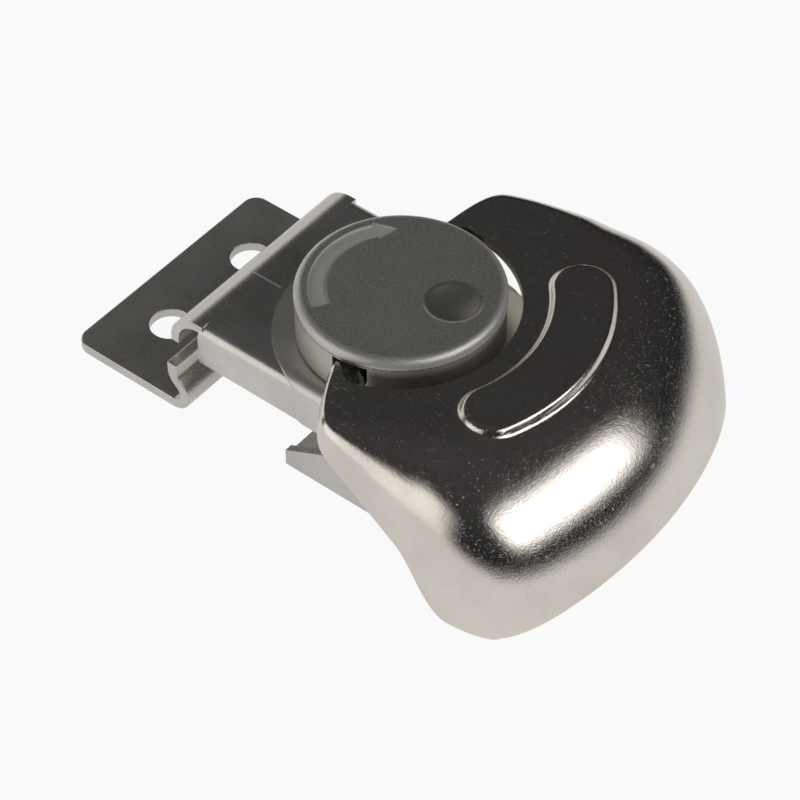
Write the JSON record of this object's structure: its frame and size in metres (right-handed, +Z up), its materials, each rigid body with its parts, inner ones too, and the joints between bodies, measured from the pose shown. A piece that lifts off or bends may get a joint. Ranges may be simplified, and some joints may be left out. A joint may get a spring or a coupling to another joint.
{
  "type": "spring loaded draw latch",
  "caption": "Rotary draw latch: a fold-down domed handle turns a knob and eccentric that draw a sprung hook plate over a keeper's lip.",
  "frame": {"origin": "knob axis on the mounting plane under the base plate", "axes": "+X from the keeper towards the handle, +Y across the latch, +Z up out of the mounting plane"},
  "size_m": [0.0789, 0.0555, 0.0214],
  "materials": {
    "nickel_sheet": "nickel plated, polished stamped steel",
    "cast_nickel": "nickel plated die casting, grainy satin",
    "turned_steel": "plain turned steel",
    "spring_steel": "blued spring strip"
  },
  "bodies": {
    "base": {"base_plate": "nickel_sheet"},
    "knob": {"knob": "cast_nickel", "eccentric_cam": "turned_steel", "pivot_stud": "turned_steel", "thrust_washer": "turned_steel", "spring_washer": "spring_steel", "stake_washer": "turned_steel", "hinge_pin": "turned_steel"},
    "handle": {"handle_shell": "nickel_sheet"},
    "spring": {"lift_spring": "spring_steel"},
    "link": {"draw_link": "nickel_sheet", "spring_rivets": "turned_steel"},
    "keeper": {"keeper_plate": "nickel_sheet"}
  },
  "joints": [
    {"name": "knob_turn", "type": "hinge", "parent": "base", "child": "knob", "pos_m": [0, 0, 0], "axis": [0, 0, 1], "range_deg": [-180, 0]},
    {"name": "handle_lift", "type": "hinge", "parent": "knob", "child": "handle", "pos_m": [0, 0, 0.017], "axis": [0.1736, -0.9848, 0], "range_deg": [0, 90]},
    {"name": "draw_slide", "type": "slide", "parent": "base", "child": "spring", "axis": [-1, 0, 0], "range_m": [0, 0.00595]},
    {"name": "link_press", "type": "hinge", "parent": "spring", "child": "link", "pos_m": [0.013, 0, 0.0078], "axis": [0, 1, 0], "range_deg": [-4, 0], "stiffness_Nm_per_rad": 0.5, "springref_deg": 5.73, "deforming": ["lift_spring"]},
    {"name": "keeper_part", "type": "slide", "parent": "spring", "child": "keeper", "axis": [-1, 0, 0], "range_m": [0, 0.03]}
  ],
  "couplings": [
    {"joint": "handle_lift", "follows": "knob_turn", "ratio": -0.5},
    {"joint": "draw_slide", "follows": "knob_turn", "m_per_rad": -0.001881}
  ]
}
